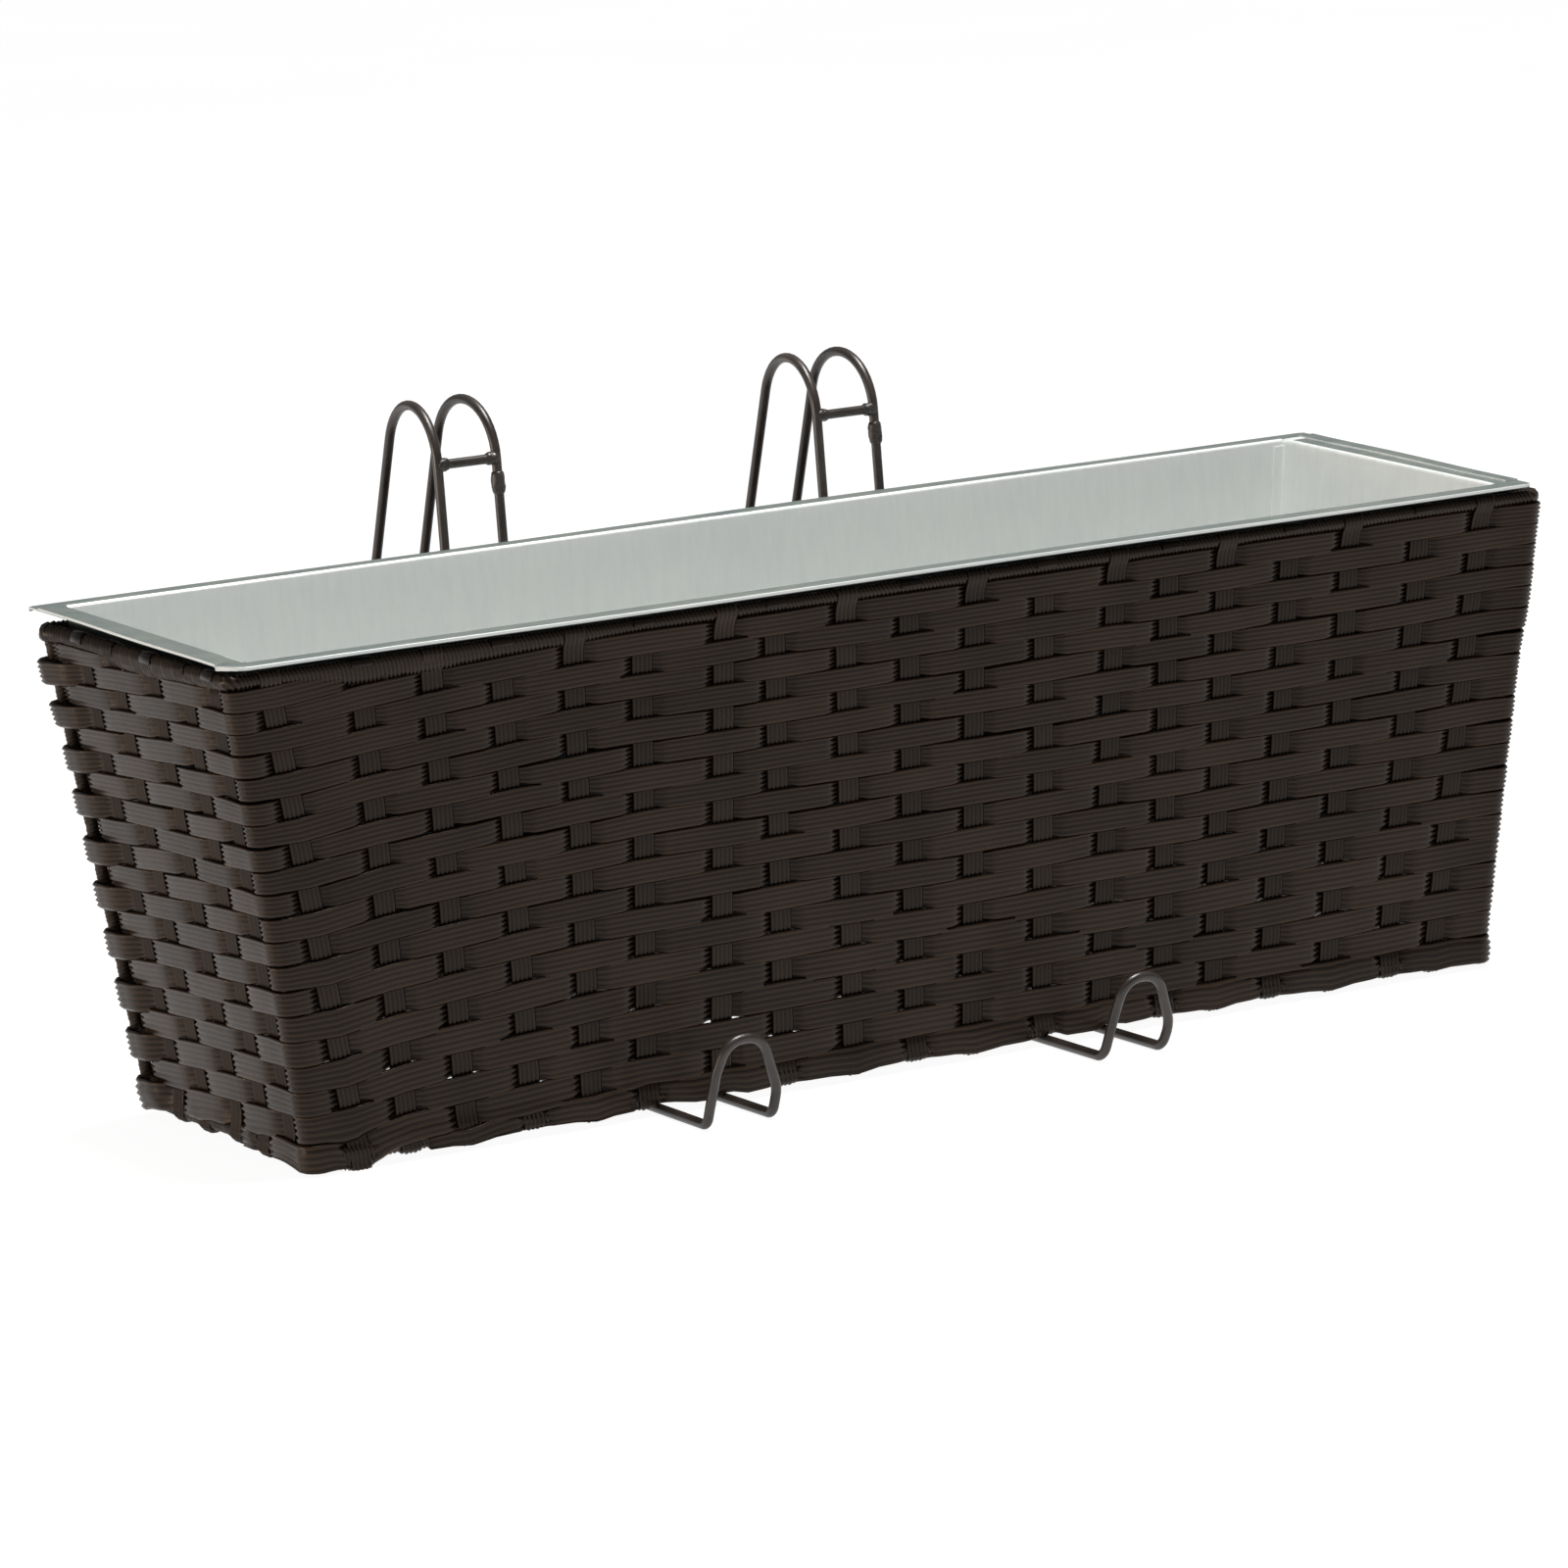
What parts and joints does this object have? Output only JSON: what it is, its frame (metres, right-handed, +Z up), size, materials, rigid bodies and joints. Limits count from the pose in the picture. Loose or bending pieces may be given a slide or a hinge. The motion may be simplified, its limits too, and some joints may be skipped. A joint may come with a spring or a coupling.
{
  "type": "window box planter",
  "caption": "Long tapered woven-rattan window box with a drop-in folded metal liner, standing in bent-wire brackets that hook over a balcony railing.",
  "frame": {"origin": "middle of the whole part's box in plan, on the surface that the bracket wires stand on", "axes": "+X along the box, +Y from the front to the railing side, +Z up"},
  "size_m": [0.5988, 0.28, 0.2611],
  "materials": {
    "wicker": "ribbed flat synthetic rattan, satin",
    "frame_steel": "dark powder coat",
    "liner_zinc": "galvanised sheet, dull grain",
    "bracket_coat": "dark brown powder coat, semi-gloss"
  },
  "bodies": {
    "basket": {"base_binding": "wicker", "corner_post_wraps": "wicker", "frame_bottom_rail": "frame_steel", "frame_corner_posts": "frame_steel", "frame_floor_bars": "frame_steel", "frame_top_rail": "frame_steel", "rim_binding": "wicker", "stakes_back": "wicker", "stakes_front": "wicker", "stakes_left": "wicker", "stakes_right": "wicker", "weft_course_01": "wicker", "weft_course_02": "wicker", "weft_course_03": "wicker", "weft_course_04": "wicker", "weft_course_05": "wicker", "weft_course_06": "wicker", "weft_course_07": "wicker", "weft_course_08": "wicker", "weft_course_09": "wicker", "weft_course_10": "wicker", "weft_course_11": "wicker", "weft_course_12": "wicker", "weft_course_13": "wicker", "weft_course_14": "wicker", "weft_course_15": "wicker", "weft_course_16": "wicker", "weft_course_17": "wicker", "weft_course_18": "wicker", "weft_course_19": "wicker", "weft_course_20": "wicker"},
    "liner": {"liner_end_left": "liner_zinc", "liner_end_right": "liner_zinc", "liner_trough": "liner_zinc"},
    "hook_left": {"hook_left_crossbar": "bracket_coat", "hook_left_welds": "bracket_coat", "hook_left_wire": "bracket_coat"},
    "hook_right": {"hook_right_crossbar": "bracket_coat", "hook_right_welds": "bracket_coat", "hook_right_wire": "bracket_coat"}
  },
  "joints": [
    {"name": "liner_lift", "type": "slide", "parent": "basket", "child": "liner", "axis": [0, 0, 1], "range_m": [0, 0.2]},
    {"name": "hook_left_drop", "type": "slide", "parent": "basket", "child": "hook_left", "axis": [0, 0, 1], "range_m": [-0.265, 0]},
    {"name": "hook_right_drop", "type": "slide", "parent": "basket", "child": "hook_right", "axis": [0, 0, 1], "range_m": [-0.265, 0]}
  ]
}
